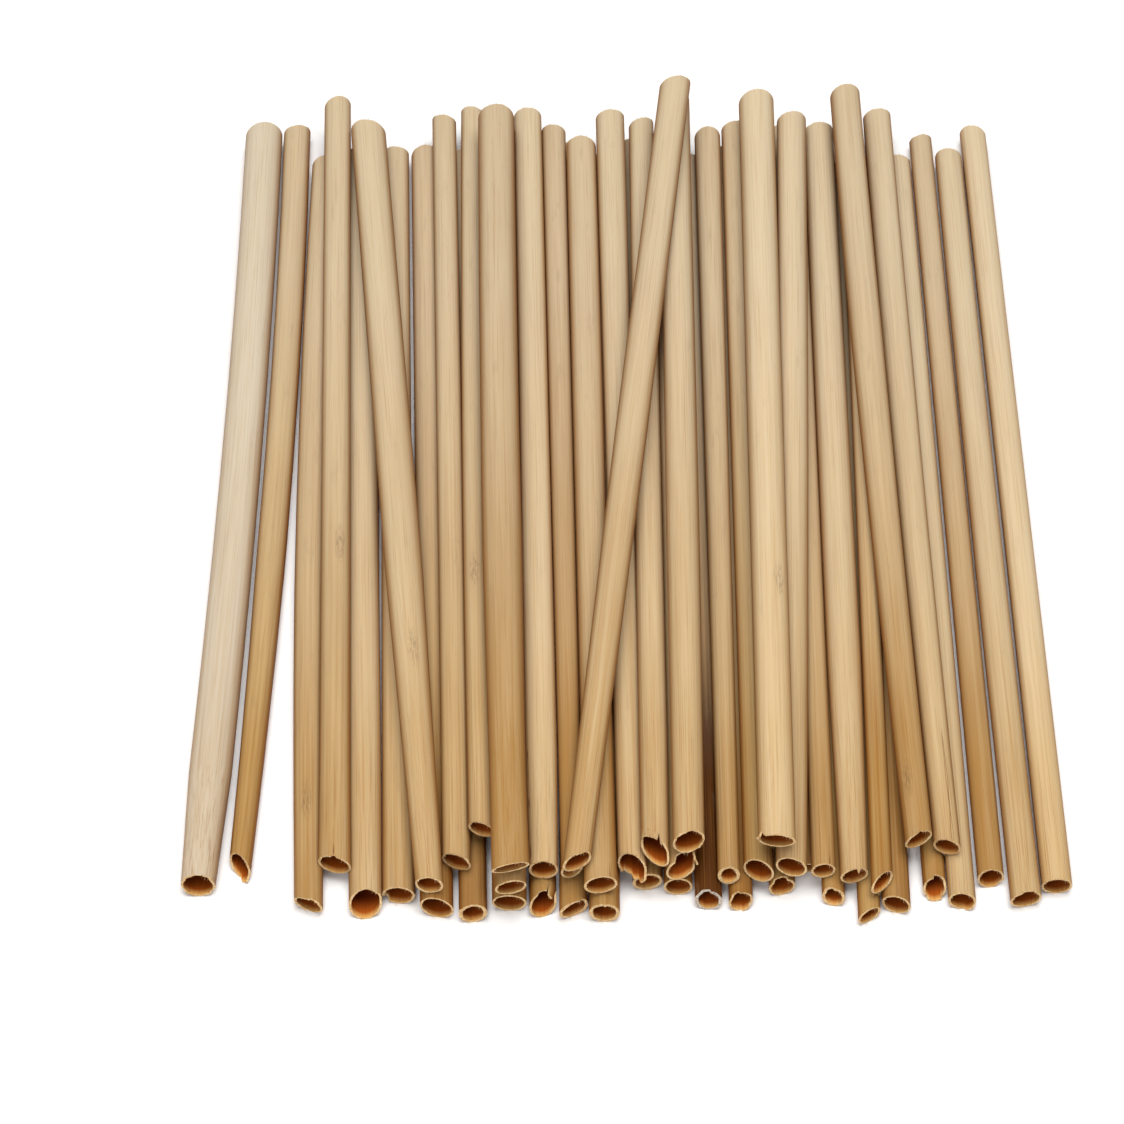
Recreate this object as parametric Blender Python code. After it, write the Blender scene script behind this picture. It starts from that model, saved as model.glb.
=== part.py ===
"""A loose bundle of cut straws lying side by side in a low heap.

Every straw is one hollow stalk, cut off clean or slanting at both ends. Many are thinner at the near
end than further back, and some bend a little. They all point the same way and lie up to three deep:
a floor layer, a second layer in its furrows, and a few loose ones on top. Nothing ties them. The near
cut ends face -Y, the stalks run along +Y, and the heap stands on z = 0.
"""

import math
from collections import namedtuple

import bpy
import numpy as np

MM = 0.001

# Driving dimensions of a straw.
STRAW_LENGTH = 200 * MM
WALL = 0.5 * MM
SIDES = 16
TO_FLAT = math.cos(math.pi / SIDES)
EIGHTHS = 8
SMOOTH_ANGLE = math.radians(40)

# The straws are all cut by hand, so their lengths and the slants of their far ends scatter a little.
LENGTH_SCATTER = 3.5 * MM
FAR_SLANT_DEGREES = 16
SCATTER_SEED = 7

# How the straws come to lie: the air left between two of them, the common line of their near ends,
# how far each end may roll sideways into a furrow, how much lower the straw must get for every
# millimetre of rolling, and at how many places along it the straw is held against the others.
REST_GAP = 0.3 * MM
NEAR_LINE = -97 * MM
ROLLS = [step * 0.4 * MM for step in range(-3, 4)]
ROLL_COST = 0.5
STATIONS = 81

# One straw of the heap. Lengths are in millimetres, angles in degrees.
#   number  counted from left to right along the near ends
#   near    distance of its axis from the middle of the heap at the near end, to the right
#   far     the same at the far end
#   width   outside diameter at the near end
#   out     how far its near end stands out past the common line
#   lean    slant of the near cut: above 0 the opening looks up, below 0 down
#   turn    slant of the near cut: above 0 the opening looks left, below 0 right
#   tint    name of its colour
#   full    outside diameter once it has thickened, or 0 when it stays the same
#   grown   how many eighths of its length it takes to thicken
#   bow     how far its middle bends out to the right
Straw = namedtuple("Straw", "number near far width out lean turn tint full grown bow", defaults=(0, 0, 0))

# The straws in the order in which they are laid down: each rests on those before it.
FLOOR_LAYER = [
    Straw(1, -77.0, -75.9, 5.8, 0, 0, 0, "ivory", 7.5, 1, 1.2),
    Straw(2, -69.8, -69.3, 4.0, -5, 28, -38, "golden", 5.6, 3, 1.5),
    Straw(3, -57.0, -62.6, 4.8, 4, -10, -22, "golden", 5.6, 3, -1.3),
    Straw(5, -46.8, -55.0, 5.4, 4, 28, 5, "beige", 5.7, 1),
    Straw(6, -41.3, -47.6, 5.2, 2, 0, -5, "beige", 5.4, 8),
    Straw(8, -34.0, -41.0, 5.8, 5, 0, -10, "tan"),
    Straw(10, -27.5, -33.0, 5.0, 6, 3, 5, "tan"),
    Straw(14, -21.0, -25.5, 6.0, 4, -9, 0, "golden"),
    Straw(16, -15.0, -18.0, 4.8, 4, 22, 15, "golden"),
    Straw(20, -9.5, -9.5, 5.0, 5, -5, 25, "golden"),
    Straw(21, -4.0, -2.5, 5.4, 6, 0, 0, "golden"),
    Straw(24, 3.8, 4.0, 5.2, -1, -3, 5, "tan"),
    Straw(26, 9.3, 10.0, 5.0, 0, 0, 0, "tan"),
    Straw(28, 14.7, 15.5, 4.8, 3, 8, -5, "grey"),
    Straw(30, 20.5, 22.0, 4.2, 3, 12, 10, "tan"),
    Straw(34, 28.0, 29.0, 4.7, 0, 0, 10, "golden"),
    Straw(35, 33.0, 35.5, 4.0, -4, 0, 0, "tan"),
    Straw(37, 37.2, 41.0, 4.0, 2, 15, -10, "golden"),
    Straw(39, 43.4, 46.3, 3.9, 6, 0, 30, "golden"),
    Straw(41, 48.3, 51.2, 5.0, 4, 0, -15, "tan"),
    Straw(43, 55.5, 56.0, 3.9, 0, 28, 0, "golden"),
    Straw(45, 60.2, 60.0, 4.5, 3, 4, -5, "golden"),
    Straw(46, 65.7, 65.1, 4.6, -2, 9, 5, "tan"),
    Straw(47, 70.8, 70.3, 5.4, 3, -5, 10, "beige", 5.6, 2, -0.3),
    Straw(48, 77.0, 76.5, 5.4, 0, -7, 0, "ivory"),
]
SECOND_LAYER = [
    Straw(4, -52.5, -60.0, 5.5, -3, 0, -15, "beige"),
    Straw(9, -30.5, -37.0, 5.0, -2, -5, -20, "beige"),
    Straw(13, -20.7, -24.6, 5.3, 5, -10, 12, "golden"),
    Straw(15, -15.3, -19.8, 4.8, 0, 4, 0, "pale", 5.4, 1),
    Straw(17, -11.0, -13.8, 3.9, 0, 8, 20, "beige", 5.0, 8),
    Straw(19, -5.9, -8.7, 5.4, 4, 2, 8, "golden", 6.0, 8),
    Straw(22, 0.2, -1.3, 5.0, -1, 20, -22, "golden", 6.0, 8),
    Straw(25, 9.7, 11.0, 5.0, 0, 10, 20, "beige"),
    Straw(29, 18.3, 19.6, 3.9, 0, 14, 0, "tan", 5.4, 8),
    Straw(31, 23.7, 25.4, 5.2, -1, 10, -20, "tan"),
    Straw(36, 35.3, 38.2, 4.2, -1, 0, 0, "beige"),
    Straw(38, 40.0, 43.5, 4.8, 0, -3, 12, "beige", 6.1, 2),
    Straw(40, 45.2, 49.8, 3.8, 2, 15, 40, "golden"),
    Straw(42, 52.5, 49.0, 4.9, -6, -5, 25, "beige", 6.2, 5, -0.5),
    Straw(44, 57.8, 56.3, 4.6, -6, 0, -15, "golden", 5.7, 5, -0.5),
    Straw(33, 29.4, 37.4, 5.4, 0, 0, -12, "pale", 6.0, 5, 0.3),
]
TOP_LAYER = [
    Straw(7, -34.8, -53.0, 4.7, 4, 0, -5, "pale", 7.0, 3),
    Straw(11, -26.0, -31.0, 4.6, -7, -4, -20, "beige", 0, 0, -0.5),
    Straw(12, -20.7, -25.6, 5.6, 5, -15, 15, "beige", 6.9, 3, -0.4),
    Straw(23, 5.0, 5.8, 4.9, -1, 20, -40, "pale", 5.2, 1),
    Straw(27, 11.0, 12.5, 5.5, -2, 7, 15, "pale", 6.2, 3),
    Straw(32, 27.8, 31.2, 6.4, -1, -18, -5, "pale", 7.2, 8),
    Straw(18, -8.9, 12.4, 4.4, 2, 4, 24, "pale", 6.0, 4),
]

# Base colour, as linear light, and roughness of each tint.
TINTS = {
    "ivory": (0.78, 0.66, 0.48, 0.5),
    "pale": (0.70, 0.52, 0.33, 0.5),
    "beige": (0.66, 0.47, 0.28, 0.5),
    "golden": (0.58, 0.37, 0.17, 0.55),
    "tan": (0.48, 0.29, 0.13, 0.6),
    "grey": (0.42, 0.30, 0.19, 0.7),
}


def clear_scene():
    """Empties the scene that the script runs in."""
    for old in list(bpy.data.objects):
        bpy.data.objects.remove(old, do_unlink=True)


def straw_material(tint):
    """Dry straw skin in one of the named tints."""
    red, green, blue, roughness = TINTS[tint]
    material = bpy.data.materials.new("straw_" + tint)
    material.use_nodes = True
    shader = material.node_tree.nodes["Principled BSDF"]
    shader.inputs["Base Color"].default_value = (red, green, blue, 1)
    shader.inputs["Roughness"].default_value = roughness
    shader.inputs["Metallic"].default_value = 0
    return material


def section_angles():
    """The angles of the corners of a many-sided section, with one flat side exactly underneath."""
    half_side = math.pi / SIDES
    return [-math.pi / 2 + half_side + corner * 2 * half_side for corner in range(SIDES)]


def cut_ring(end, inward, wall, lean, turn):
    """The corners where a slanted cut meets the skin, or the bore when a wall is given.

    The end and the next section inward are each (x, y, z, radius). Every corner slides along its own
    straight edge between the two, until it lies in the plane of the cut."""
    x, y, z, radius = end
    reach = inward[1] - y
    slope = [(there - here) / reach for here, there in zip(end, inward)]
    back_x, back_z = math.tan(math.radians(turn)), math.tan(math.radians(lean))
    corners = []
    for angle in section_angles():
        aside, up = (radius - wall) * math.cos(angle), (radius - wall) * math.sin(angle)
        aside_slope = slope[0] + slope[3] * math.cos(angle)
        up_slope = slope[2] + slope[3] * math.sin(angle)
        depth = (aside * back_x + up * back_z) / (1 - aside_slope * back_x - up_slope * back_z)
        corners.append((x + aside + aside_slope * depth, y + depth, z + up + up_slope * depth))
    return corners


def plain_ring(middle, wall):
    """The corners of a section square to the heap, of the skin or of the bore."""
    x, y, z, radius = middle
    reach = radius - wall
    return [(x + reach * math.cos(angle), y, z + reach * math.sin(angle)) for angle in section_angles()]


def straw_mesh(name, piece):
    """A hollow stalk where it lies, open at both slanted ends."""
    rings = []
    sections = piece.sections()
    for wall, order in ((0.0, 1), (WALL, -1)):
        surface = [cut_ring(sections[0], sections[1], wall, piece.straw.lean, piece.straw.turn)]
        surface += [plain_ring(middle, wall) for middle in sections[1:-1]]
        surface.append(cut_ring(sections[-1], sections[-2], wall, piece.far_lean, piece.far_turn))
        rings += surface[::order]
    points = [point for ring in rings for point in ring]
    faces = []
    for ring in range(len(rings)):
        after = (ring + 1) % len(rings)
        for corner in range(SIDES):
            beside = (corner + 1) % SIDES
            faces.append(
                (
                    ring * SIDES + corner,
                    after * SIDES + corner,
                    after * SIDES + beside,
                    ring * SIDES + beside,
                )
            )
    mesh = bpy.data.meshes.new(name)
    mesh.from_pydata(points, [], faces)
    mesh.shade_smooth()
    mesh.set_sharp_from_angle(angle=SMOOTH_ANGLE)
    return mesh


class LaidStraw:
    """A straw where it lies: the line under it runs straight from its near to its far end."""

    def __init__(self, straw, length, far_lean, far_turn):
        self.straw = straw
        self.length = length
        self.far_lean = far_lean
        self.far_turn = far_turn
        self.near_y = NEAR_LINE - straw.out * MM
        self.far_y = self.near_y + length
        self.middle_y = (self.near_y + self.far_y) / 2
        self.near_x = straw.near * MM
        self.far_x = straw.far * MM
        self.height = 0.0
        self.climb = 0.0

    def radius(self, y):
        """Its outside radius at a distance y along the heap."""
        if not self.straw.grown:
            return self.straw.width * MM / 2
        share = np.minimum((y - self.near_y) / self.length * EIGHTHS / self.straw.grown, 1)
        return (self.straw.width + (self.straw.full - self.straw.width) * share) * MM / 2

    def across(self, y):
        """Where its axis is from left to right, at a distance y along the heap."""
        share = (y - self.near_y) / self.length
        bent = self.straw.bow * MM * 4 * share * (1 - share)
        return self.near_x + (self.far_x - self.near_x) * share + bent

    def up(self, y):
        """How high its axis is at a distance y along the heap."""
        return self.height + self.climb * (y - self.middle_y) + self.radius(y) * TO_FLAT

    def sections(self):
        """The (x, y, z, radius) of each section that its shape needs, from near to far."""
        eighths = range(EIGHTHS + 1) if self.straw.bow else sorted({0, self.straw.grown, EIGHTHS})
        places = [self.near_y + self.length * eighth / EIGHTHS for eighth in eighths]
        return [(self.across(y), y, self.up(y), self.radius(y)) for y in places]

    def clearance(self, other, y):
        """How high the line under this straw must be to lie clear over the other, at each distance y."""
        reach = self.radius(y) + other.radius(y) + REST_GAP
        aside = self.across(y) - other.across(y)
        over = other.up(y) + np.sqrt(np.maximum(reach * reach - aside * aside, 0))
        beside = (abs(aside) >= reach) | (y < other.near_y) | (y > other.far_y)
        return np.where(beside, 0, over - self.radius(y) * TO_FLAT)

    def drop_onto(self, others):
        """Lowers the straw until it lies on two supports, one on each side of its middle."""
        y = np.linspace(self.near_y, self.far_y, STATIONS)
        needed = np.zeros(STATIONS)
        for other in others:
            needed = np.maximum(needed, self.clearance(other, y))
        half = STATIONS // 2
        front, back = np.meshgrid(np.arange(half), np.arange(half + 1, STATIONS), indexing="ij")
        climb = (needed[back] - needed[front]) / (y[back] - y[front])
        height = needed[front] + climb * (self.middle_y - y[front])
        supports = np.unravel_index(np.argmax(height), height.shape)
        self.height = float(max(height[supports], needed[half]))
        self.climb = float(climb[supports])

    def settle_onto(self, others):
        """Rolls the straw a little sideways at each end, to where it comes to lie lowest."""
        best = None
        for near_roll in ROLLS:
            for far_roll in ROLLS:
                self.near_x = self.straw.near * MM + near_roll
                self.far_x = self.straw.far * MM + far_roll
                self.drop_onto(others)
                cost = self.height + ROLL_COST * (abs(near_roll) + abs(far_roll))
                if best is None or cost < best[0]:
                    best = (cost, self.near_x, self.far_x)
        self.near_x, self.far_x = best[1:]
        self.drop_onto(others)


def lay_straws():
    """Lays every straw of the heap in turn and returns them where they come to rest."""
    scatter = np.random.default_rng(SCATTER_SEED)
    laid = []
    for straw in FLOOR_LAYER + SECOND_LAYER + TOP_LAYER:
        length = STRAW_LENGTH + LENGTH_SCATTER * scatter.uniform(-1, 1)
        far_lean, far_turn = FAR_SLANT_DEGREES * scatter.uniform(-1, 1, 2)
        piece = LaidStraw(straw, length, far_lean, far_turn)
        piece.settle_onto(laid)
        laid.append(piece)
    return laid


def make_straw(piece, materials):
    """One straw of the heap as an object, with its place in its mesh."""
    name = f"straw_{piece.straw.number:02d}"
    mesh = straw_mesh(name, piece)
    mesh.materials.append(materials[piece.straw.tint])
    made = bpy.data.objects.new(name, mesh)
    bpy.context.scene.collection.objects.link(made)
    return made


def centre_heap(straws):
    """Moves the straws together, so that the heap's outline is centred on the origin."""
    corners = np.array([vertex.co for made in straws for vertex in made.data.vertices])
    middle = (corners.min(axis=0) + corners.max(axis=0)) / 2
    for made in straws:
        made.location.x -= middle[0]
        made.location.y -= middle[1]


clear_scene()
straw_materials = {tint: straw_material(tint) for tint in TINTS}
heap = sorted(lay_straws(), key=lambda piece: piece.straw.number)
centre_heap([make_straw(piece, straw_materials) for piece in heap])
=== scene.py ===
# %% [markdown]
# # A loose bundle of straw
#
# Forty-eight hollow stalks of dry grass lie side by side in a low heap, up to three deep. Each is
# one closed piece: a waxy skin outside, a matt bore inside, and a torn rim where it was cut. The
# frame already says where every stalk lies and how its ends slant. This lesson turns those plain
# tubes into straw: one geometry-nodes tree grows a stalk from its sizes, and a short list says
# which ends are chipped, split or torn.

# %% The frame
import functools
import math
import random

import bpy
import numpy as np
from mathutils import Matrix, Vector


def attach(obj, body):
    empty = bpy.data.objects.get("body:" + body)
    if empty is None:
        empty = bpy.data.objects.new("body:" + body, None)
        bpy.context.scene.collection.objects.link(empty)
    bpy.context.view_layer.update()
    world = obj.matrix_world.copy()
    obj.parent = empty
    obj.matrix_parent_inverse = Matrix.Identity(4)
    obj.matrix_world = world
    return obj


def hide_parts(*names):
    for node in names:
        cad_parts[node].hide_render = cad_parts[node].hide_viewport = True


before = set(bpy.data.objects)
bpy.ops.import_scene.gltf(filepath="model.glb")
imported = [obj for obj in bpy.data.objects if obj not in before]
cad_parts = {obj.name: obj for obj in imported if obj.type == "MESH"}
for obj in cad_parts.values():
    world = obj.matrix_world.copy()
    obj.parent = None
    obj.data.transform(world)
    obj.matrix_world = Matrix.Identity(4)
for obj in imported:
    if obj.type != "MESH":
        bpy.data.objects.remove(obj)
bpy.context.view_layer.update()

MM = 0.001
print("stalks in the frame:", len(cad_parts))

# %% [markdown]
# ## Camera
#
# The heap is seen from its near cut ends, looking down at a little more than forty-five degrees. A
# long lens keeps the stalks almost parallel, with only a slight squeeze towards the far end. The
# camera could be aimed with a constraint, but two plain angles are easier to read.

# %% The camera
# The lens and the sensor are in millimetres, and so is the place of the camera.
CAMERA_LENS = 118.4
CAMERA_SENSOR = 36
CAMERA_PLACE = (-11.6, -501.1, 535.6)
CAMERA_TILT_DOWN = 48

camera_data = bpy.data.cameras.new("camera")
camera_data.lens = CAMERA_LENS
camera_data.sensor_width = CAMERA_SENSOR
camera_data.clip_start = 0.05
camera = bpy.data.objects.new("camera", camera_data)
camera.location = Vector(CAMERA_PLACE) * MM
camera.rotation_euler = (math.radians(90 - CAMERA_TILT_DOWN), 0, 0)
bpy.context.scene.collection.objects.link(camera)
bpy.context.scene.camera = camera
print("the camera looks down at", CAMERA_TILT_DOWN, "degrees")

# %% [markdown]
# ## Floor and light
#
# The straw lies on a white table under broad, soft lamps, so the shadows are short and the white
# ground throws light back up between the stalks. A large lamp above models the round skins, a
# weaker one from the front reaches into the bores, and a pale sky fills in.


# %% Colours, and one helper that adds a node
def linear(hex_colour):
    """A colour written as sRGB hex, as the linear values that a shader takes."""
    levels = [int(hex_colour[i:i + 2], 16) / 255 for i in (1, 3, 5)]
    return [v / 12.92 if v <= 0.04045 else ((v + 0.055) / 1.055) ** 2.4 for v in levels] + [1.0]


def add_node(tree, kind, *inputs, **settings):
    """Adds a node. Each input is a node, a socket, a plain value, or None to leave it alone.

    A dictionary among the inputs sets or links them by name."""
    node = tree.nodes.new(kind)
    for name, value in settings.items():
        setattr(node, name, value)
    named = {}
    for place, value in enumerate(inputs):
        if isinstance(value, dict):
            named.update(value)
        elif value is not None:
            named[place] = value
    for place, value in named.items():
        if isinstance(value, bpy.types.Node):
            value = value.outputs[0]
        if isinstance(value, bpy.types.NodeSocket):
            tree.links.new(value, node.inputs[place])
        else:
            node.inputs[place].default_value = value
    return node


# %% The floor
FLOOR_SIZE = 6.0
FLOOR_COLOUR = "#fbfaf8"

floor_mesh = bpy.data.meshes.new("floor")
half = FLOOR_SIZE / 2
floor_corners = [(-half, -half, 0), (half, -half, 0), (half, half, 0), (-half, half, 0)]
floor_mesh.from_pydata(floor_corners, [], [(0, 1, 2, 3)])
floor = bpy.data.objects.new("floor", floor_mesh)
bpy.context.scene.collection.objects.link(floor)
floor_paint = bpy.data.materials.new("white_table")
floor_paint.use_nodes = True
floor_shader = floor_paint.node_tree.nodes["Principled BSDF"]
floor_shader.inputs["Base Color"].default_value = linear(FLOOR_COLOUR)
floor_shader.inputs["Roughness"].default_value = 0.9
floor_mesh.materials.append(floor_paint)
print("floor:", FLOOR_SIZE, "m wide")

# %% The lamps and the sky
LAMPS = {
    "overhead": {"place": (0.05, -0.1, 1.2), "size": 0.9, "power": 16},
    "front": {"place": (-0.3, -1.0, 0.75), "size": 0.8, "power": 6},
}
SKY_STRENGTH = 0.2

for lamp_name, lamp in LAMPS.items():
    lamp_data = bpy.data.lights.new(lamp_name, "AREA")
    lamp_data.size = lamp["size"]
    lamp_data.energy = lamp["power"]
    lamp_object = bpy.data.objects.new(lamp_name, lamp_data)
    lamp_object.location = lamp["place"]
    lamp_object.rotation_euler = (-Vector(lamp["place"])).to_track_quat("-Z", "Y").to_euler()
    bpy.context.scene.collection.objects.link(lamp_object)

sky = bpy.data.worlds.new("sky")
sky.use_nodes = True
background = sky.node_tree.nodes["Background"]
background.inputs["Color"].default_value = linear("#ffffff")
background.inputs["Strength"].default_value = SKY_STRENGTH
bpy.context.scene.world = sky
bpy.context.scene.view_settings.view_transform = "Standard"
print("lamps:", ", ".join(LAMPS))

# %% [markdown]
# ## Reading how a stalk lies
#
# Every stalk in the frame is a tube with many flat sides. Its corners come in sections, one at each
# place where the stalk bends or thickens. The middle of a section is a point of the axis, and its
# furthest corner gives the radius. A plane fitted through each end gives the slant of the cut.


# %% A stalk's run
FLAT_SIDES = 16
# A section has one ring of corners on the skin and one in the bore.
SECTION_CORNERS = 2 * FLAT_SIDES
TO_THE_FLATS = math.cos(math.pi / FLAT_SIDES)


def cut_slopes(corners, middle, along):
    """How steeply a cut runs back across the stalk and up it."""
    side = np.cross(along, (0, 0, 1))
    side /= np.linalg.norm(side)
    up = np.cross(side, along)
    offsets = corners - middle
    across = np.column_stack([offsets @ side, offsets @ up])
    return np.linalg.lstsq(across, offsets @ along, rcond=None)[0]


def read_run(node):
    """The points of a stalk's axis, its radius at each, and the slopes of its two cuts."""
    corners = np.array([vertex.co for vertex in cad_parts[node].data.vertices], float)
    corners = np.unique(corners.round(6), axis=0)
    corners = corners[np.argsort(corners[:, 1])]
    sections = corners.reshape(-1, SECTION_CORNERS, 3)
    points = sections.mean(axis=1)
    outward = (sections - points[:, None])[:, :, (0, 2)]
    radii = np.linalg.norm(outward, axis=2).max(axis=1)
    near_run = points[1] - points[0]
    far_run = points[-1] - points[-2]
    return {
        "points": points,
        "radii": [float(radius) * TO_THE_FLATS for radius in radii],
        "near": cut_slopes(sections[0], points[0], near_run / np.linalg.norm(near_run)),
        "far": cut_slopes(sections[-1], points[-1], far_run / np.linalg.norm(far_run)),
    }


runs = {node: read_run(node) for node in sorted(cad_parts)}
widths = [2 * radius / MM for run in runs.values() for radius in run["radii"]]
print(f"stalks are {min(widths):.1f} to {max(widths):.1f} mm across")


# %% [markdown]
# ## The finishes
#
# Straw has three faces to show. The **skin** is a hard, waxy layer: pale gold, finely ribbed along
# its length, with hardly any shine once it is dry. The **bore** is the dead pith inside: matt and
# deep orange. Light only gets there through the wall and by bouncing down the tube, so its colour
# has painted light on the lip and painted shade further in. The **rim** is torn fibre, paler than
# the skin. Every pattern reads the `stalk` attribute, a point's place in its own stalk in metres,
# so that the grain runs along the stalk and never shows a seam.

# %% Colours of the skins
# The light and the dark shade of each tint, how much grey mould it carries, and how strong the
# painted shade is near the cut and on the lower flanks.
SKINS = {
    "ivory": ("#c9bba6", "#baa282", 0.15, 0.15),
    "peach": ("#d0b68e", "#c19e6a", 0.15, 0.2),
    "pale": ("#c6ac83", "#b28d5b", 0.2, 0.2),
    "beige": ("#bea073", "#a37b46", 0.3, 0.2),
    "golden": ("#b89762", "#976a32", 0.3, 0.3),
    "tan": ("#b5905b", "#8a5d2b", 0.3, 0.35),
    # Stalk 28 alone is brown. Its strong darkening at the cut is painted shade, for it lies low between
    # its neighbours.
    "brown": ("#b08955", "#502c0f", 0.4, 1.5),
}
# Painted light: the pale colour that the tops take on away from the cut, where the lamps fall.
PAINTED_LIGHT_PALE = "#d0c2a8"
# Painted shade: the red brown of the lower flanks, which the neighbouring stalks shade.
PAINTED_FLANK_SHADE = "#80420a"
BETWEEN_FIBRES = "#8e5f2b"
MOULD_CLOUD = "#8b7863"
MOULD_MARK = "#5f4a3a"
INSIDE_CRACK = "#6b3f1b"

# How far back from the near cut each change reaches: the painted shade by the cut, the fine lines,
# and the painted light that pales the rest.
NEAR_CUT_SHADE_REACH = 60 * MM
LINES_REACH = 40 * MM
PAINTED_LIGHT_START, PAINTED_LIGHT_END = 25 * MM, 150 * MM
# A mould mark fades between these two radii, and is four times as long as it is wide.
MARK_CORE, MARK_EDGE = 0.3 * MM, 1.4 * MM
MARK_SHORTENING = (1.0, 0.25, 1.0)
CRACK_WIDTH = 0.07 * MM
CRACK_WANDER = 0.3 * MM
CRACK_FADE = 3 * MM

# %% Patterns and plain finishes
# The width and the length of each pattern's streaks, and how much fine detail it has.
# The patterns named mark, crack and torn break up the mould mark, the crack and the torn rim.
PATTERNS = {
    "ribs": (0.55 * MM, 90 * MM, 2.0),
    "patches": (5 * MM, 60 * MM, 2.0),
    "fibres": (0.16 * MM, 26 * MM, 3.0),
    "clouds": (1.6 * MM, 9 * MM, 4.0),
    "mark": (0.25 * MM, 1.6 * MM, 3.0),
    "crack": (3 * MM, 8 * MM, 1.0),
    "pith": (0.3 * MM, 12 * MM, 2.0),
    "torn": (0.25 * MM, 0.4 * MM, 2.0),
}
SKIN_FINISH = {
    "IOR": 1.48,
    "Specular IOR Level": 0.07,
    "Subsurface Weight": 0.1,
    "Subsurface Radius": (1.0, 0.5, 0.2),
    "Subsurface Scale": 0.4 * MM,
}
BORE_FINISH = {
    "Roughness": 0.75,
    "Specular IOR Level": 0.05,
}
RIM_FINISH = {
    "Roughness": 0.85,
    "Specular IOR Level": 0.1,
    "Subsurface Weight": 0.2,
    "Subsurface Radius": (1.0, 0.6, 0.3),
    "Subsurface Scale": 0.5 * MM,
}
# How deep the finest relief is.
FIBRE_RELIEF = 0.06 * MM
TORN_RELIEF = 0.1 * MM


# %% Helpers for the materials
def new_material(name, finish):
    """A material with the plain values of its finish, together with its tree and its shader."""
    material = bpy.data.materials.new(name)
    material.use_nodes = True
    shader = material.node_tree.nodes["Principled BSDF"]
    for setting, value in finish.items():
        shader.inputs[setting].default_value = value
    return material, material.node_tree, shader


def pattern(tree, stalk, name):
    """Cloudy streaks that follow the stalk."""
    width, length, detail = PATTERNS[name]
    cells = (1 / width, 1 / length, 1 / width)
    stretched = add_node(tree, "ShaderNodeMapping", {"Vector": stalk, "Scale": cells})
    inputs = {"Vector": stretched, "Scale": 1.0, "Detail": detail, "Roughness": 0.6}
    return add_node(tree, "ShaderNodeTexNoise", inputs)


def lay_over(tree, base, layers):
    """The base colour with plain colours laid over it in turn, each by its own share."""
    for share, colour in layers:
        inputs = {"Factor": share, "A": base, "B": linear(colour)}
        base = add_node(tree, "ShaderNodeMix", inputs, data_type="RGBA").outputs["Result"]
    return base


def rises(value, start, end, most=1.0):
    """Inputs for a share that is 0 up to the start and the most from the end on."""
    return {"Value": value, "From Min": start, "From Max": end, "To Max": most}


def distance_from(tree, stalk, name, stretch):
    """How far a point is from a place that an attribute gives, and the way there from that place."""
    place = add_node(tree, "ShaderNodeAttribute", attribute_name=name).outputs["Vector"]
    way = add_node(tree, "ShaderNodeVectorMath", stalk, place, operation="SUBTRACT")
    stretched = add_node(tree, "ShaderNodeVectorMath", way, stretch, operation="MULTIPLY")
    distance = add_node(tree, "ShaderNodeVectorMath", stretched, operation="LENGTH")
    return distance.outputs["Value"], way


# %% [markdown]
# ### The skin
#
# The shade of a skin is a sum. Ribs, broad patches and the stalk's own tone move it between its light
# and its dark colour. Painted shade darkens the flanks and the last centimetres before the cut, and
# painted light pales the top away from the cut. Fine lines, mould and cracks are then laid over that
# shade.
#
# The red brown of the lower flanks is painted shade: between packed stalks light bounces from skin to
# skin and turns warm and deep, more than soft lamps alone show.


# %% The layers of a skin
def skin_layers(tree, stalk, ribs, dark, painted_shade):
    """The dark colour, the painted light on top and the painted shade on the flanks of a clean skin.

    Painted shade near the cut also pulls the skin towards its dark colour.
    """
    from_near = add_node(tree, "ShaderNodeAttribute", attribute_name="from_near").outputs["Fac"]
    skyward = add_node(tree, "ShaderNodeAttribute", attribute_name="skyward").outputs["Fac"]
    shade = add_node(tree, "ShaderNodeAttribute", attribute_name="tone").outputs["Fac"]
    patches = pattern(tree, stalk, "patches")
    # Painted shade pulls the skin towards its dark colour near the cut.
    near_cut = add_node(tree, "ShaderNodeMapRange", rises(from_near, NEAR_CUT_SHADE_REACH, 0.0, painted_shade))
    # Painted shade: the flanks are pulled towards the dark colour.
    painted_flank_darkening = add_node(tree, "ShaderNodeMapRange", rises(skyward, 0.8, 0.2, 0.55))
    for part in (ribs, patches, near_cut, painted_flank_darkening):
        shade = add_node(tree, "ShaderNodeMath", shade, part, operation="ADD")
    darkened = add_node(tree, "ShaderNodeMapRange", rises(shade, 0.75, 1.6))
    # Painted light: away from the cut the stalk is paler, most of all on top, where the lamps fall.
    painted_light_share = add_node(tree, "ShaderNodeMapRange", rises(from_near, PAINTED_LIGHT_START, PAINTED_LIGHT_END, 0.55))
    lit_top = add_node(tree, "ShaderNodeMapRange", rises(skyward, 0.1, 0.8))
    painted_light_share = add_node(tree, "ShaderNodeMath", painted_light_share, lit_top, operation="MULTIPLY")
    # Painted shade: the lower flanks turn a deep red brown, less so on the palest stalks.
    deepest = min(0.95, 4 * painted_shade)
    flank_shade_share = add_node(tree, "ShaderNodeMapRange", rises(skyward, 0.7, 0.0, deepest))
    return [(darkened, dark), (painted_light_share, PAINTED_LIGHT_PALE), (flank_shade_share, PAINTED_FLANK_SHADE)]


def line_layer(tree, fibres):
    """Fine dark lines between the fibres, plainest near the cut."""
    from_near = add_node(tree, "ShaderNodeAttribute", attribute_name="from_near").outputs["Fac"]
    lines = add_node(tree, "ShaderNodeMapRange", rises(fibres, 0.5, 0.3))
    fading = {"Value": from_near, "From Max": LINES_REACH, "To Min": 0.6, "To Max": 0.3}
    plainness = add_node(tree, "ShaderNodeMapRange", fading)
    lines = add_node(tree, "ShaderNodeMath", lines, plainness, operation="MULTIPLY")
    return lines, BETWEEN_FIBRES


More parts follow.
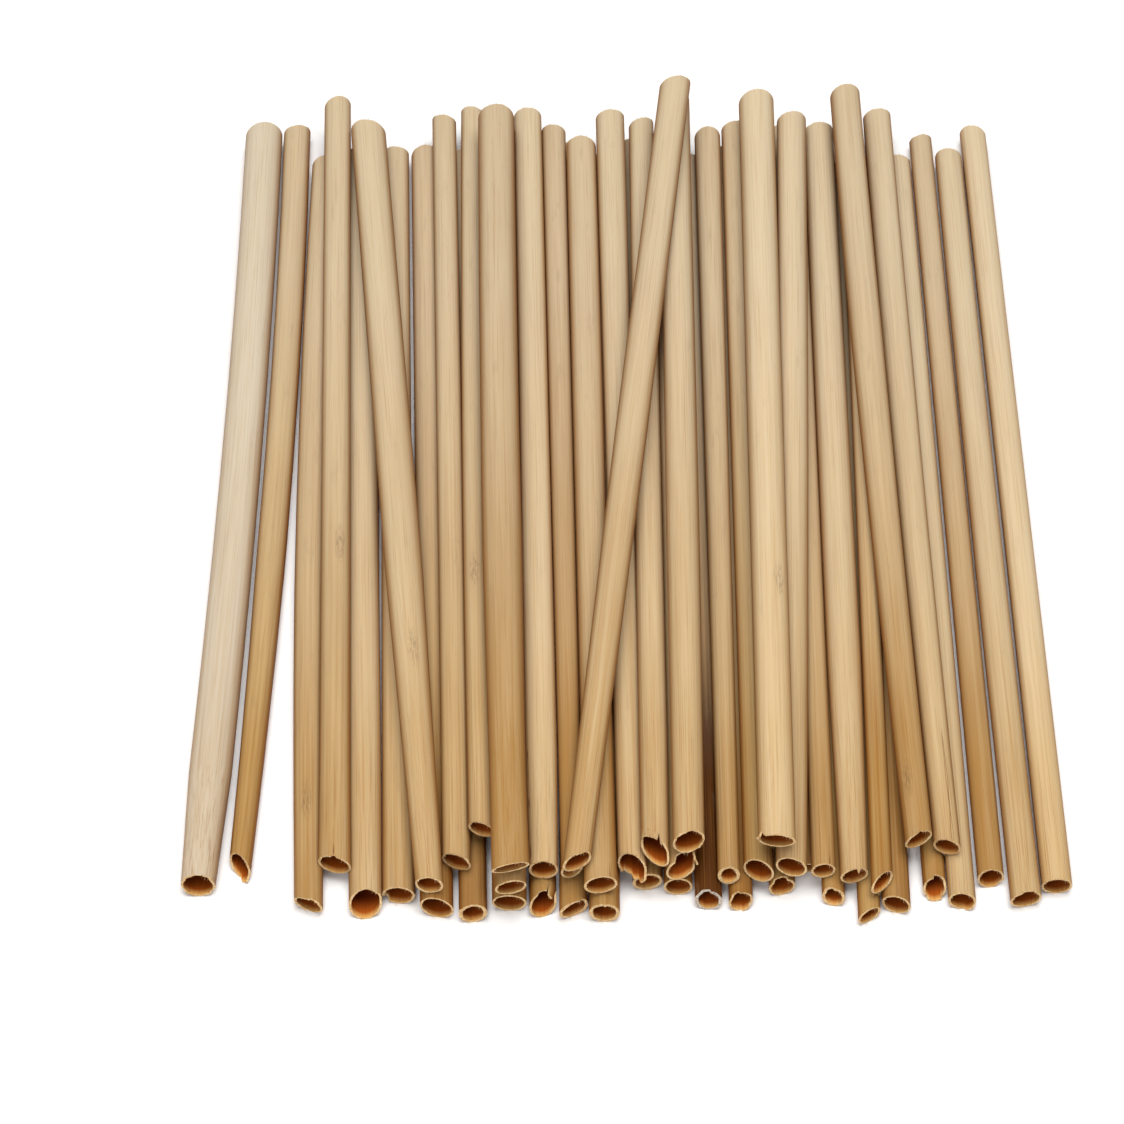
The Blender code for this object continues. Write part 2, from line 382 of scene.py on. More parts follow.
def mould_layers(tree, stalk, mould):
    """Grey mould: faint clouds, and one small dark mark on a few stalks."""
    clouds = add_node(tree, "ShaderNodeMapRange", rises(pattern(tree, stalk, "clouds"), 0.6, 0.8, mould))
    distance, _ = distance_from(tree, stalk, "mark", MARK_SHORTENING)
    in_mark = add_node(tree, "ShaderNodeMapRange", rises(distance, MARK_EDGE, MARK_CORE))
    specks = add_node(tree, "ShaderNodeMapRange", rises(pattern(tree, stalk, "mark"), 0.42, 0.62))
    marked = add_node(tree, "ShaderNodeMath", in_mark, specks, operation="MULTIPLY")
    marked = add_node(tree, "ShaderNodeMath", marked, 0.5, operation="MULTIPLY")
    return [(clouds, MOULD_CLOUD), (marked, MOULD_MARK)]


def crack_layer(tree, stalk):
    """A crack, which is a thin dark line that runs back from the cut and wanders a little."""
    beside, way = distance_from(tree, stalk, "crack", (1.0, 0.0, 1.0))
    wander = rises(pattern(tree, stalk, "crack"), 0.3, 0.7, CRACK_WANDER)
    wander = add_node(tree, "ShaderNodeMapRange", wander)
    beside = add_node(tree, "ShaderNodeMath", beside, wander, operation="SUBTRACT")
    beside = add_node(tree, "ShaderNodeMath", beside, operation="ABSOLUTE")
    short_of = add_node(tree, "ShaderNodeSeparateXYZ", way).outputs["Y"]
    in_crack = add_node(tree, "ShaderNodeMapRange", rises(beside, CRACK_WIDTH, 0.3 * CRACK_WIDTH, 0.85))
    open_crack = add_node(tree, "ShaderNodeMapRange", rises(short_of, 0.0, -CRACK_FADE))
    cracked = add_node(tree, "ShaderNodeMath", in_crack, open_crack, operation="MULTIPLY")
    return cracked, INSIDE_CRACK


# %% The skin
def skin_material(tint):
    """Dry straw skin: waxy, finely ribbed, streaked along its length, with cracks and grey marks.

    Painted light pales its top, and painted shade darkens its flanks and its end by the cut.
    """
    light, dark, mould, painted_shade = SKINS[tint]
    material, tree, shader = new_material("straw_skin_" + tint, SKIN_FINISH)
    stalk = add_node(tree, "ShaderNodeAttribute", attribute_name="stalk").outputs["Vector"]
    ribs = pattern(tree, stalk, "ribs")
    fibres = pattern(tree, stalk, "fibres")
    layers = skin_layers(tree, stalk, ribs, dark, painted_shade)
    layers.append(line_layer(tree, fibres))
    layers.extend(mould_layers(tree, stalk, mould))
    layers.append(crack_layer(tree, stalk))
    tree.links.new(lay_over(tree, linear(light), layers), shader.inputs["Base Color"])
    # The wax is smoother on the ribs than between them.
    rough = add_node(tree, "ShaderNodeMapRange", rises(fibres, 0.3, 0.7))
    rough = add_node(tree, "ShaderNodeMapRange", {"Value": rough, "To Min": 0.68, "To Max": 0.5})
    tree.links.new(rough.outputs[0], shader.inputs["Roughness"])
    relief = add_node(tree, "ShaderNodeMath", ribs, fibres, operation="ADD")
    bump = add_node(tree, "ShaderNodeBump", {"Strength": 0.4, "Distance": FIBRE_RELIEF, "Height": relief})
    tree.links.new(bump.outputs["Normal"], shader.inputs["Normal"])
    return material


skins = {tint: skin_material(tint) for tint in SKINS}
print("skins:", ", ".join(skins))

# %% [markdown]
# ### The bore and the rims
#
# The bore's orange is its pith's own. Its pale mouth is painted light where the lamps reach the lip,
# and painted shade darkens it in two steps: quickly behind the rim, then slowly down the tube. Its
# roof never gets light from above, and is painted darkest.

# %% The bore
# Painted light on the lip, then painted shade behind it, down the tube and under the roof.
LIT_BORE_MOUTH = "#d6a25c"
BORE_THROAT_SHADE = "#a04f15"
BORE_DEPTH_SHADE = "#662506"
BORE_ROOF_SHADE = "#6c2805"
PITH_LINES = "#6b2f0c"
# How far behind the rim the painted shade of the throat and of the depth begins and is full.
THROAT_START, THROAT_END = 0.1 * MM, 1.2 * MM
DEPTH_START, DEPTH_END = 1.0 * MM, 4.5 * MM


def bore_material():
    """The inside of a stalk: dead pith, matt and orange, with painted light on the lip.

    Painted shade darkens it down the tube and under its roof.
    """
    material, tree, shader = new_material("straw_bore", BORE_FINISH)
    stalk = add_node(tree, "ShaderNodeAttribute", attribute_name="stalk").outputs["Vector"]
    from_cut = add_node(tree, "ShaderNodeAttribute", attribute_name="from_cut").outputs["Fac"]
    skyward = add_node(tree, "ShaderNodeAttribute", attribute_name="skyward").outputs["Fac"]
    pith = pattern(tree, stalk, "pith")
    throat_shade = add_node(tree, "ShaderNodeMapRange", rises(from_cut, THROAT_START, THROAT_END))
    depth_shade = add_node(tree, "ShaderNodeMapRange", rises(from_cut, DEPTH_START, DEPTH_END))
    roof_shade = add_node(tree, "ShaderNodeMapRange", rises(skyward, -0.8, 0.3, 0.9))
    lines = add_node(tree, "ShaderNodeMapRange", rises(pith, 0.5, 0.3, 0.35))
    layers = [(throat_shade, BORE_THROAT_SHADE), (depth_shade, BORE_DEPTH_SHADE), (roof_shade, BORE_ROOF_SHADE), (lines, PITH_LINES)]
    tree.links.new(lay_over(tree, linear(LIT_BORE_MOUTH), layers), shader.inputs["Base Color"])
    bump = add_node(tree, "ShaderNodeBump", {"Strength": 0.4, "Distance": FIBRE_RELIEF, "Height": pith})
    tree.links.new(bump.outputs["Normal"], shader.inputs["Normal"])
    return material


bore = bore_material()
print("bore:", bore.name)


# %% The rims
def rim_material(name, light, dark):
    """Torn fibre at a cut: pale, rough and ragged."""
    material, tree, shader = new_material(name, RIM_FINISH)
    stalk = add_node(tree, "ShaderNodeAttribute", attribute_name="stalk").outputs["Vector"]
    specks = pattern(tree, stalk, "torn")
    darker = add_node(tree, "ShaderNodeMapRange", rises(specks, 0.35, 0.7))
    tree.links.new(lay_over(tree, linear(light), [(darker, dark)]), shader.inputs["Base Color"])
    bump = add_node(tree, "ShaderNodeBump", {"Strength": 0.6, "Distance": TORN_RELIEF, "Height": specks})
    tree.links.new(bump.outputs["Normal"], shader.inputs["Normal"])
    return material


rims = {
    "fresh": rim_material("torn_fibre", "#e3c89c", "#b08045"),
    "mouldy": rim_material("mouldy_fibre", "#d6ccbf", "#8f7c67"),
}
print("materials:", len(bpy.data.materials))

# %% [markdown]
# ## Growing a stalk with geometry nodes
#
# A stalk follows a rule, so one tree makes all of them. It is given the stalk's axis as a line with a
# radius at each point, and starts from a flat grid. One direction of the grid runs round the stalk,
# and the other runs up the skin, over the far rim, back down the bore and over the near rim, so the
# sheet closes on itself like a long thin ring. Each column of the grid starts where the cut is at
# that angle: the slant, plus fine teeth, plus any bite, nick or flap. The columns stretch only near
# the ends, so a torn end costs no more faces than a clean one.

# %% The inputs of the tree
# Columns go round the stalk. Rows go along the skin, along the bore, and over each rim.
COLUMNS = 112
ROWS = 44
RIM_ROWS = 3
RING_ROWS = 2 * ROWS + 2 * RIM_ROWS
# How far from its end a stalk's columns stretch to meet the cut.
END_ZONE = 34 * MM
# The sides of a bite, a nick or a flap slope over this angle, in radians.
TORN_EDGE = 0.12

STALK_INPUTS = (
    "Wall",
    "Near Turn", "Near Lean", "Far Turn", "Far Lean",
    "Teeth", "Far Teeth",
    "Bite At", "Bite Width", "Bite Depth",
    "Nick At", "Nick Width", "Nick Depth",
    "Flap At", "Flap Width", "Flap Length", "Flap Bend",
    "Crack At", "Crack Length",
    "Mark At", "Mark Back",
    "Pinch", "Widening", "Oval", "Tone", "Seed",
)
PLAIN_INPUTS = {
    "Bite Width": 0.5,
    "Nick Width": 0.5,
    "Flap Width": 0.5,
}

grow_stalk = bpy.data.node_groups.new("grow_stalk", "GeometryNodeTree")
interface = grow_stalk.interface
interface.new_socket("Line", in_out="INPUT", socket_type="NodeSocketGeometry")
for name in STALK_INPUTS:
    socket = interface.new_socket(name, in_out="INPUT", socket_type="NodeSocketFloat")
    socket.default_value = PLAIN_INPUTS.get(name, 0.0)
for name in ("Skin", "Bore", "Rim"):
    interface.new_socket(name, in_out="INPUT", socket_type="NodeSocketMaterial")
interface.new_socket("Stalk", in_out="OUTPUT", socket_type="NodeSocketGeometry")
given = grow_stalk.nodes.new("NodeGroupInput").outputs
print("inputs of a stalk:", len(STALK_INPUTS))

# %% Arithmetic in the tree
grown = functools.partial(add_node, grow_stalk)


def sums(operation, *values):
    """One step of arithmetic in the tree that grows a stalk."""
    return grown("ShaderNodeMath", *values, operation=operation).outputs[0]


def vectors(operation, *values):
    """One step of arithmetic with vectors."""
    return grown("ShaderNodeVectorMath", *values, operation=operation).outputs[0]


def from_0_to_1(value):
    """The value, held between 0 and 1."""
    return sums("MAXIMUM", sums("MINIMUM", value, 1.0), 0.0)


# %% [markdown]
# ### From the grid to the ring
#
# Each point of the grid works out where it belongs: its angle round the stalk, its share of the way
# along it, and its depth in the wall, which is 0 on the skin and 1 in the bore.

# %% Where a point is in the grid
grid = grown("GeometryNodeMeshGrid", 1.0, 1.0, COLUMNS + 1, RING_ROWS + 1)
place = grown("ShaderNodeSeparateXYZ", grown("GeometryNodeInputPosition"))
angle = sums("MULTIPLY", sums("ADD", place.outputs["X"], 0.25), 2 * math.pi)
cosine = sums("COSINE", angle)
sine = sums("SINE", angle)

row = sums("ROUND", sums("MULTIPLY", sums("ADD", place.outputs["Y"], 0.5), RING_ROWS))
going = sums("DIVIDE", row, ROWS)
coming = sums("DIVIDE", sums("SUBTRACT", 2 * ROWS + RIM_ROWS, row), ROWS)
share = from_0_to_1(sums("MINIMUM", going, coming))
into = sums("DIVIDE", sums("SUBTRACT", row, ROWS), RIM_ROWS)
out_of = sums("DIVIDE", sums("SUBTRACT", RING_ROWS, row), RIM_ROWS)
depth = from_0_to_1(sums("MINIMUM", into, out_of))
print("points in the grid:", (COLUMNS + 1) * (RING_ROWS + 1))


# %% Noise and windows round the stalk
def ring_noise(scale, offset, detail):
    """Noise round the stalk, from -1 to 1, the same at both ends of a turn."""
    vector = grown("ShaderNodeCombineXYZ", cosine, sine, offset)
    inputs = {"Vector": vector, "W": given["Seed"], "Scale": scale, "Detail": detail}
    noise = grown("ShaderNodeTexNoise", inputs, noise_dimensions="4D")
    return sums("MULTIPLY", sums("SUBTRACT", noise.outputs[0], 0.5), 2.0)


def window(at, width):
    """1 within a width round the stalk, 0 outside it, with a torn edge between."""
    aside = sums("ABSOLUTE", sums("WRAP", sums("SUBTRACT", angle, at), math.pi, -math.pi))
    inside = sums("SUBTRACT", sums("MULTIPLY", width, 0.5), aside)
    return from_0_to_1(sums("DIVIDE", inside, TORN_EDGE))


# %% [markdown]
# ### Girth
#
# The rows crowd towards both ends of the line. The radius comes from the line's own points, a little
# oval and never quite round.

# %% The radius of the skin
FACET_DEPTH = 0.035 * MM

line = grown("GeometryNodeMeshToCurve", {"Mesh": given["Line"]}).outputs[0]
length = grown("GeometryNodeCurveLength", {"Curve": line}).outputs[0]
even = sums("SUBTRACT", 1.0, sums("COSINE", sums("MULTIPLY", share, math.pi)))
level = sums("MULTIPLY", even, sums("MULTIPLY", length, 0.5))
girth = grown("GeometryNodeInputNamedAttribute", "girth", data_type="FLOAT").outputs["Attribute"]
girth_inputs = {"Curves": line, "Value": girth, "Length": level}
girth_there = grown("GeometryNodeSampleCurve", girth_inputs, mode="LENGTH", data_type="FLOAT")
thickness = girth_there.outputs["Value"]
twice = sums("COSINE", sums("ADD", sums("MULTIPLY", angle, 2.0), given["Seed"]))
oval = sums("ADD", sums("MULTIPLY", twice, given["Oval"]), 1.0)
facets = sums("MULTIPLY", ring_noise(2.2, 0.0, 1.0), FACET_DEPTH)
skin_radius = sums("ADD", sums("MULTIPLY", thickness, oval), facets)
print("nodes so far:", len(grow_stalk.nodes))

# %% [markdown]
# ### The cuts
#
# Each cut is a slanted plane with teeth. A bite or a nick moves a stretch of it, and the wall on both
# sides of a flap is torn back as far as the flap is long, so that the flap stands free.

# %% How far back each cut lies at this angle
side = sums("MULTIPLY", thickness, cosine)
up = sums("MULTIPLY", thickness, sine)


def slant(end):
    """The slanted plane of one cut."""
    sideways = sums("MULTIPLY", side, given[end + " Turn"])
    upwards = sums("MULTIPLY", up, given[end + " Lean"])
    return sums("ADD", sideways, upwards)


def moved_edge(kind):
    """A stretch of the near cut that lies further back, or further out at a depth below 0."""
    stretch = window(given[kind + " At"], given[kind + " Width"])
    return sums("MULTIPLY", stretch, given[kind + " Depth"])


fibre_step = sums("MULTIPLY", depth, 0.35)
broad_teeth = ring_noise(2.6, fibre_step, 2.0)
fine_teeth = ring_noise(9.0, fibre_step, 1.0)
teeth = sums("ADD", broad_teeth, sums("MULTIPLY", fine_teeth, 0.6))

on_flap = window(given["Flap At"], given["Flap Width"])
round_flap = window(given["Flap At"], sums("ADD", given["Flap Width"], 3 * TORN_EDGE))
beside_flap = sums("MULTIPLY", sums("SUBTRACT", round_flap, on_flap), given["Flap Length"])

near_cut = sums("ADD", slant("Near"), sums("MULTIPLY", teeth, given["Teeth"]))
for tear in (moved_edge("Bite"), moved_edge("Nick"), beside_flap):
    near_cut = sums("ADD", near_cut, tear)
far_cut = sums("SUBTRACT", slant("Far"), sums("MULTIPLY", teeth, given["Far Teeth"]))

# %% Only the end zones follow the cuts
left = sums("SUBTRACT", length, level)
near_pull = sums("MAXIMUM", sums("SUBTRACT", 1.0, sums("DIVIDE", level, END_ZONE)), 0.0)
far_pull = sums("MAXIMUM", sums("SUBTRACT", 1.0, sums("DIVIDE", left, END_ZONE)), 0.0)
pulled = sums("ADD", sums("MULTIPLY", near_cut, near_pull), sums("MULTIPLY", far_cut, far_pull))
along = sums("ADD", level, pulled)
from_near = sums("SUBTRACT", along, near_cut)
from_far = sums("SUBTRACT", sums("ADD", length, far_cut), along)
from_cut = sums("MINIMUM", from_near, from_far)
print("nodes so far:", len(grow_stalk.nodes))

# %% The wall, the flap bent out of it, and a pinched mouth
SHORTEST_FLAP = 0.2 * MM

root = sums("MAXIMUM", given["Flap Length"], SHORTEST_FLAP)
free = sums("MAXIMUM", sums("SUBTRACT", 1.0, sums("DIVIDE", from_near, root)), 0.0)
curled = sums("MULTIPLY", sums("POWER", free, 1.6), on_flap)
bend = sums("MULTIPLY", curled, given["Flap Bend"])
uneven = sums("ADD", 1.0, sums("MULTIPLY", ring_noise(1.6, 3.0, 1.0), 0.3))
wall = sums("MULTIPLY", given["Wall"], uneven)
radius = sums("ADD", sums("SUBTRACT", skin_radius, sums("MULTIPLY", wall, depth)), bend)
pinch = sums("MULTIPLY", given["Pinch"], sums("POWER", near_pull, 2.0))
wider = sums("ADD", sums("ADD", 1.0, given["Widening"]), sums("MULTIPLY", pinch, 0.5))
flat_x = sums("MULTIPLY", sums("MULTIPLY", radius, cosine), wider)
flat_z = sums("MULTIPLY", sums("MULTIPLY", radius, sine), sums("SUBTRACT", 1.0, pinch))
print("nodes so far:", len(grow_stalk.nodes))

# %% [markdown]
# ### Onto the axis
#
# The flat ring is carried to the place on the axis where the point belongs, and straight on past the
# ends of the line.

# %% The place of every point
on_line = sums("MAXIMUM", sums("MINIMUM", along, length), 0.0)
axis_inputs = {"Curves": line, "Length": on_line}
axis = grown("GeometryNodeSampleCurve", axis_inputs, mode="LENGTH", data_type="FLOAT").outputs
side_way = vectors("NORMALIZE", vectors("CROSS_PRODUCT", axis["Tangent"], (0.0, 0.0, 1.0)))
up_way = vectors("CROSS_PRODUCT", side_way, axis["Tangent"])
beyond = sums("SUBTRACT", along, on_line)
point = axis["Position"]
for way, reach in ((axis["Tangent"], beyond), (side_way, flat_x), (up_way, flat_z)):
    moved = grown("ShaderNodeVectorMath", way, {"Scale": reach}, operation="SCALE")
    point = vectors("ADD", point, moved)


# %% What the finishes need to know
def in_stalk(x, y, z):
    """A place in the stalk: across it, along it and up it, with each stalk's pattern its own."""
    return grown("ShaderNodeCombineXYZ", x, sums("ADD", y, given["Seed"]), z)


def on_skin(at, back):
    """The place on the skin at an angle and at a distance behind the near end."""
    across = sums("MULTIPLY", thickness, sums("COSINE", at))
    return in_stalk(across, back, sums("MULTIPLY", thickness, sums("SINE", at)))


mesh = grid.outputs["Mesh"]
for name, data_type, value in (
    ("stalk", "FLOAT_VECTOR", in_stalk(flat_x, along, flat_z)),
    ("crack", "FLOAT_VECTOR", on_skin(given["Crack At"], given["Crack Length"])),
    ("mark", "FLOAT_VECTOR", on_skin(given["Mark At"], given["Mark Back"])),
    ("wall_depth", "FLOAT", depth),
    ("from_cut", "FLOAT", from_cut),
    ("from_near", "FLOAT", from_near),
    ("skyward", "FLOAT", sine),
    ("tone", "FLOAT", given["Tone"]),
    ("near_end", "FLOAT", sums("LESS_THAN", share, 0.5)),
):
    inputs = {"Geometry": mesh, "Name": name, "Value": value}
    mesh = grown("GeometryNodeStoreNamedAttribute", inputs, data_type=data_type, domain="POINT")

# %% The closed stalk
SEAM = 0.002 * MM

rolled = grown("GeometryNodeSetPosition", {"Geometry": mesh, "Position": point})
closed = grown("GeometryNodeMergeByDistance", {"Geometry": rolled, "Distance": SEAM})
smooth = grown("GeometryNodeSetShadeSmooth", {"Geometry": closed})
depths = grown("GeometryNodeInputNamedAttribute", "wall_depth", data_type="FLOAT")
wall_depth = depths.outputs["Attribute"]
near_ends = grown("GeometryNodeInputNamedAttribute", "near_end", data_type="FLOAT")
near_end = near_ends.outputs["Attribute"]
print("nodes so far:", len(grow_stalk.nodes))

# %% [markdown]
# ### Loose fibres
#
# Short fibres stand in the rims, more or less along the stalk. Each is a thin cone, and about one rim
# point in ten carries one.

# %% The fibres
# One fibre, how many rim points carry one, which way they lean, and how their sizes differ.
FIBRE = {
    "Vertices": 4,
    "Radius Top": 0.008 * MM,
    "Radius Bottom": 0.035 * MM,
    "Depth": 1.0 * MM,
}
FIBRE_CHANCE = {"Probability": 0.1, "Seed": 3}
FIBRE_SPREAD = {"Min": (-0.5, 0, -0.5), "Max": (0.5, 0, 0.5), "Seed": 5}
FIBRE_SIZES = {"Min": (0.7, 0.7, 0.15), "Max": (1.3, 1.3, 0.8), "Seed": 9}

in_rim = sums("LESS_THAN", sums("ABSOLUTE", sums("SUBTRACT", wall_depth, 0.5)), 0.4)
draw = grown("FunctionNodeRandomValue", FIBRE_CHANCE, data_type="BOOLEAN")
chosen = next(output for output in draw.outputs if output.type == "BOOLEAN")
rooted = grown("FunctionNodeBooleanMath", in_rim, chosen, operation="AND")
fibre = grown("GeometryNodeMeshCone", FIBRE)
spread = grown("FunctionNodeRandomValue", FIBRE_SPREAD, data_type="FLOAT_VECTOR")
outward = sums("SUBTRACT", 1.0, sums("MULTIPLY", near_end, 2.0))
heading = vectors("ADD", spread, grown("ShaderNodeCombineXYZ", 0.0, outward, 0.0))
turned = grown("FunctionNodeAlignRotationToVector", {"Vector": heading}, axis="Z")
sizes = grown("FunctionNodeRandomValue", FIBRE_SIZES, data_type="FLOAT_VECTOR")
stuck = grown(
    "GeometryNodeInstanceOnPoints",
    {"Points": smooth, "Selection": rooted, "Instance": fibre, "Rotation": turned, "Scale": sizes},
)
fibres = grown("GeometryNodeRealizeInstances", {"Geometry": stuck})

# %% Skin outside, bore inside, torn fibre between
on_skin_side = sums("LESS_THAN", wall_depth, 0.01)
on_bore_side = sums("GREATER_THAN", wall_depth, 0.99)
fibres = grown("GeometryNodeSetMaterial", {"Geometry": fibres, "Material": given["Rim"]})
body = smooth
for finish, faces in (("Rim", True), ("Skin", on_skin_side), ("Bore", on_bore_side)):
    inputs = {"Geometry": body, "Selection": faces, "Material": given[finish]}
    body = grown("GeometryNodeSetMaterial", inputs)
joined = grown("GeometryNodeJoinGeometry")
grow_stalk.links.new(fibres.outputs[0], joined.inputs[0])
grow_stalk.links.new(body.outputs[0], joined.inputs[0])
grown("NodeGroupOutput", joined)
print("nodes in the stalk tree:", len(grow_stalk.nodes))

# %% [markdown]
# ## Which ends are torn
#
# Straw is cut with a blade, but it is brittle: some rims chip, some walls crack along the grain, and
# here and there a strip of wall breaks loose and bends. These are chances, not rules, so they are
# listed. Angles go round the mouth in degrees, 0 to the right and 90 on top, and lengths are in
# millimetres. A bite or nick with a depth below 0 is a tongue that was left standing.
#
# - bite, nick: angle, width, depth
# - flap: angle, width, length, how far its tip bends outward
# - crack, a closed slit: angle, length
# - mark, a patch of grey mould: angle, distance behind the cut
# - wall, teeth: how thick the wall is, and how tall the teeth of the near cut are
# - pinch: how far the mouth is pressed flat, as a share of its height

# %% The tints and the torn ends
TINTS = {
    "ivory": (1,),
    "peach": (48, 32, 15),
    "pale": (5, 7, 18, 23, 27, 33, 44, 38, 22, 47, 45),
    "beige": (3, 4, 6, 9, 11, 17, 19, 25, 29, 36, 42, 13, 12, 46),
    "golden": (2, 14, 16, 20, 21, 24, 31, 34, 37, 39, 40, 43),
    "tan": (8, 10, 26, 30, 35, 41),
    "brown": (28,),
}
# Above 0 is darker than the tint, below 0 lighter. Stalk 17's darker tone is painted shade, for the
# shadow that stalk 18 casts on it.
TONES_AND_SHADE = {
    3: 0.2, 4: -0.1, 7: 0.1, 9: -0.1, 11: -0.1, 12: 0.35, 17: 0.5, 18: 0.3, 19: 0.1, 31: -0.1,
    36: 0.1, 40: 0.15, 42: 0.15, 45: -0.1, 46: 0.3,
}
# The number of each stalk, and what happened to its near end.
TORN = {
    1: {"teeth": 0.25, "nick": (90, 110, 0.35), "bite": (265, 110, -0.35), "pinch": 0.05},
    2: {"teeth": 0.2, "nick": (300, 50, -0.8)},
    3: {"teeth": 0.2, "nick": (60, 50, 0.3), "mark": (95, 22)},
    4: {"crack": (92, 4), "pinch": 0.1, "mark": (70, 75), "nick": (92, 22, 0.3)},
    5: {"nick": (22, 34, 0.4), "teeth": 0.15},
    6: {"bite": (212, 40, 1.0), "nick": (345, 30, 0.3), "teeth": 0.15},
    7: {"nick": (168, 24, 0.3), "mark": (80, 53)},
    8: {"teeth": 0.2},
    9: {"teeth": 0.15, "nick": (50, 40, 0.2)},
    10: {"wall": 0.6, "nick": (170, 40, 0.4)},
    11: {"mark": (100, 62)},
    12: {"pinch": 0.2},
    13: {"teeth": 0.2},
    14: {"teeth": 0.12},
    15: {"crack": (150, 30)},
    16: {"bite": (85, 60, 0.5), "flap": (38, 46, 1.8, -0.6)},
    18: {"teeth": 0.2, "nick": (80, 40, -0.3)},
    19: {"crack": (48, 4), "pinch": 0.1},
    20: {"wall": 0.55, "nick": (40, 40, 0.3)},
    21: {"wall": 0.6, "nick": (88, 20, -0.2)},
    22: {"bite": (250, 50, 0.9), "nick": (325, 50, -1.0), "crack": (50, 5), "teeth": 0.2},
    23: {"bite": (35, 60, 0.9), "flap": (115, 80, 2.2, 0.4), "teeth": 0.15},
    24: {"wall": 0.55, "teeth": 0.2},
    25: {"bite": (75, 90, 1.4), "flap": (15, 50, 2.0, 0.4), "teeth": 0.2},
    27: {"teeth": 0.35},
    28: {"wall": 0.55, "teeth": 0.18, "bite": (105, 50, 0.3)},
    29: {"wall": 0.6, "teeth": 0.08},
    30: {"teeth": 0.25, "bite": (120, 50, 0.4), "nick": (300, 50, -0.4)},
    32: {"teeth": 0.12, "flap": (168, 40, 1.2, 0.3), "mark": (60, 60)},
    33: {"nick": (45, 30, 0.2)},
    34: {"teeth": 0.3, "bite": (100, 70, 0.6)},
    35: {"bite": (250, 90, 1.2)},
    36: {"teeth": 0.08, "crack": (60, 3)},
    37: {"wall": 0.55, "bite": (120, 60, 0.3), "teeth": 0.15},
    38: {"teeth": 0.1, "nick": (72, 16, -0.9)},
    41: {"nick": (190, 40, 0.4), "teeth": 0.15},
    42: {"teeth": 0.12, "nick": (85, 20, 0.3), "mark": (120, 12)},
    43: {"bite": (60, 80, 0.7), "nick": (270, 90, -0.5)},
    44: {"crack": (66, 26), "teeth": 0.1},
    45: {"nick": (315, 60, -0.4)},
    46: {"nick": (320, 40, 0.3)},
    47: {"nick": (80, 60, 0.3), "teeth": 0.1, "pinch": 0.08},
}
# Every stalk is a little wider than it is high, and these more than the rest. That narrows the gaps
# beside them.
WIDENED = {3: 0.1, 5: 0.1, 6: 0.13, 12: 0.1, 15: 0.12, 43: 0.08, 45: 0.12, 46: 0.08}
PLAIN_WIDENING = 0.05
PLAIN_WALL = 0.38
PLAIN_TEETH = 0.12
print("torn or marked:", len(TORN), "of", len(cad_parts))

# %% [markdown]
# ## Growing all the stalks
#
# Each stalk gets its line and its slants from the frame and its damage from the list. The tree grows
# it round that line, where it lies, and the result is made a plain mesh. The frame's tubes have flat
# sides, and their flats are a hair nearer the axis than their corners, so the round skin is drawn at
# the flats and every stalk still touches what carries it.

# %% The stalks
SHARP_ANGLE = math.radians(50)
tree_inputs = [item for item in grow_stalk.interface.items_tree if item.in_out == "INPUT"]
socket_of = {item.name: item.identifier for item in tree_inputs}
tint_of = {number: tint for tint, numbers in TINTS.items() for number in numbers}

# The inputs that each kind of damage sets, in the order in which the list gives them.
DAMAGE = {
    "bite": ("Bite At", "Bite Width", "Bite Depth"),
    "nick": ("Nick At", "Nick Width", "Nick Depth"),
    "flap": ("Flap At", "Flap Width", "Flap Length", "Flap Bend"),
    "crack": ("Crack At", "Crack Length"),
    "mark": ("Mark At", "Mark Back"),
}


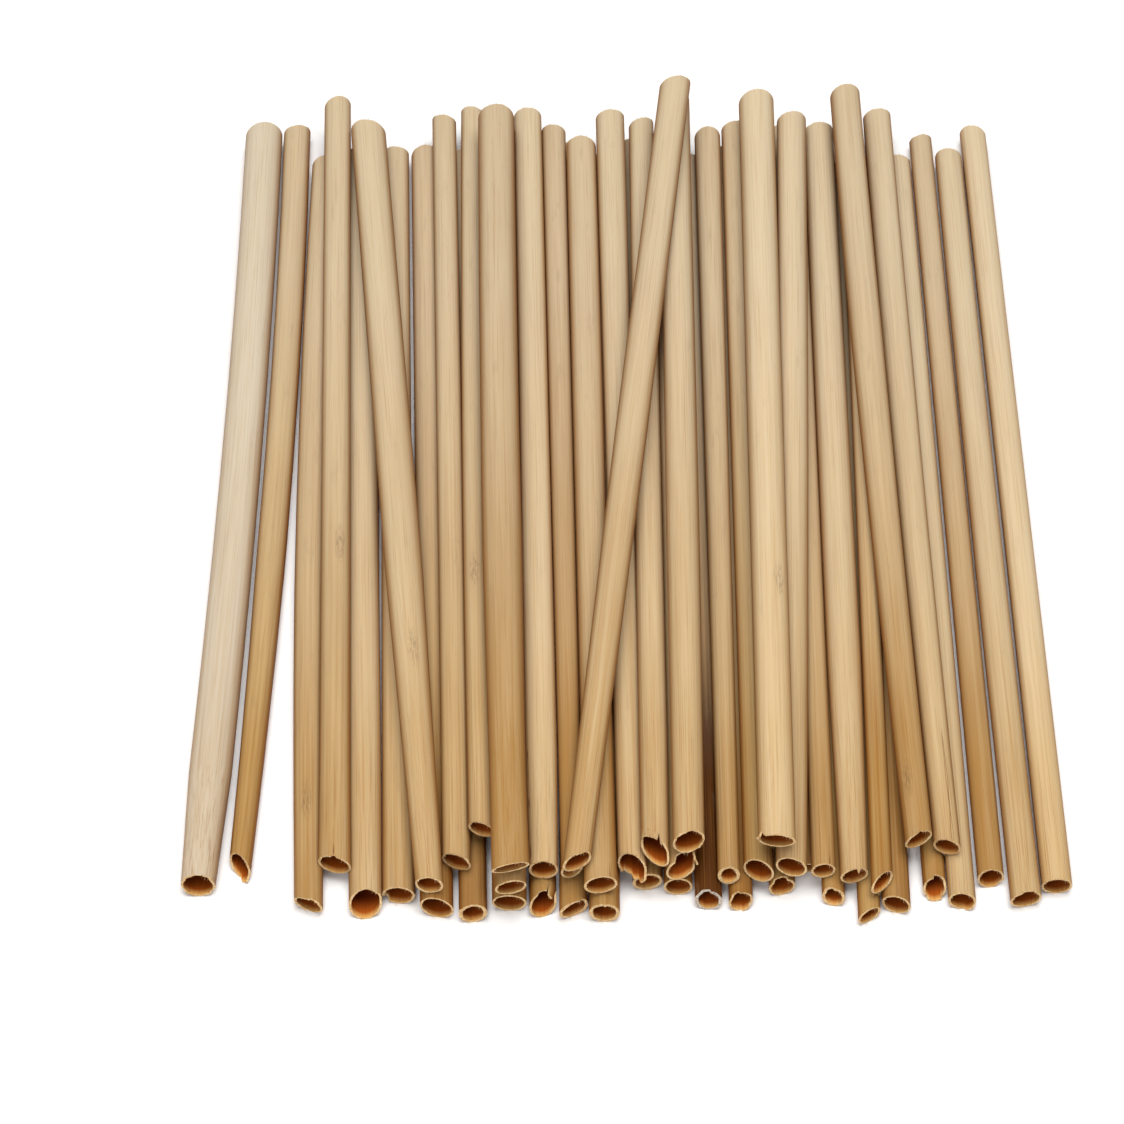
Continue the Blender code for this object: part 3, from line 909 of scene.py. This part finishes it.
def stalk_sizes(number, run):
    """The tree's inputs for one stalk."""
    torn = TORN.get(number, {})
    chance = random.Random(number)
    sizes = {
        "Wall": torn.get("wall", PLAIN_WALL) * MM,
        "Near Turn": run["near"][0],
        "Near Lean": run["near"][1],
        "Far Turn": run["far"][0],
        "Far Lean": run["far"][1],
        "Teeth": torn.get("teeth", PLAIN_TEETH) * MM,
        "Far Teeth": chance.uniform(0.12, 0.4) * MM,
        "Pinch": torn.get("pinch", 0.0),
        "Widening": WIDENED.get(number, PLAIN_WIDENING),
        "Oval": chance.uniform(0.005, 0.03),
        "Tone": TONES_AND_SHADE.get(number, 0.0),
        "Seed": float(number),
    }
    for kind, names in DAMAGE.items():
        for name, value in zip(names, torn.get(kind, ())):
            is_angle = name.endswith(("At", "Width"))
            sizes[name] = math.radians(value) if is_angle else value * MM
    return sizes


def line_object(run):
    """The axis of a stalk as a line of points, each with the radius there."""
    points = run["points"]
    steps = [(i, i + 1) for i in range(len(points) - 1)]
    mesh = bpy.data.meshes.new("line")
    mesh.from_pydata([tuple(place) for place in points], steps, [])
    girths = mesh.attributes.new("girth", "FLOAT", "POINT")
    girths.data.foreach_set("value", run["radii"])
    line = bpy.data.objects.new("line", mesh)
    bpy.context.scene.collection.objects.link(line)
    return line


def grow(node, run):
    """One finished stalk, as a plain mesh where it lies."""
    number = int(node.split("_")[1])
    tint = tint_of[number]
    line = line_object(run)
    modifier = line.modifiers.new("grow", "NODES")
    modifier.node_group = grow_stalk
    for name, value in stalk_sizes(number, run).items():
        modifier[socket_of[name]] = float(value)
    modifier[socket_of["Skin"]] = skins[tint]
    modifier[socket_of["Bore"]] = bore
    modifier[socket_of["Rim"]] = rims["mouldy" if tint == "brown" else "fresh"]
    evaluated = line.evaluated_get(bpy.context.evaluated_depsgraph_get())
    mesh = bpy.data.meshes.new_from_object(evaluated)
    bpy.data.objects.remove(line)
    mesh.name = "grown_" + node
    mesh.set_sharp_from_angle(angle=SHARP_ANGLE)
    stalk = bpy.data.objects.new("grown_" + node, mesh)
    bpy.context.scene.collection.objects.link(stalk)
    return stalk


stalks = {node: grow(node, run) for node, run in runs.items()}
faces = [len(stalk.data.polygons) for stalk in stalks.values()]
print(f"grown {len(stalks)} stalks, {sum(faces)} faces, most in one {max(faces)}")

# %% [markdown]
# ## Handing over
#
# Every grown stalk stands for its tube of the frame and rides on the one body there is.

# %% Finish
for node, stalk in stalks.items():
    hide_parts(node)
    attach(stalk, "root")
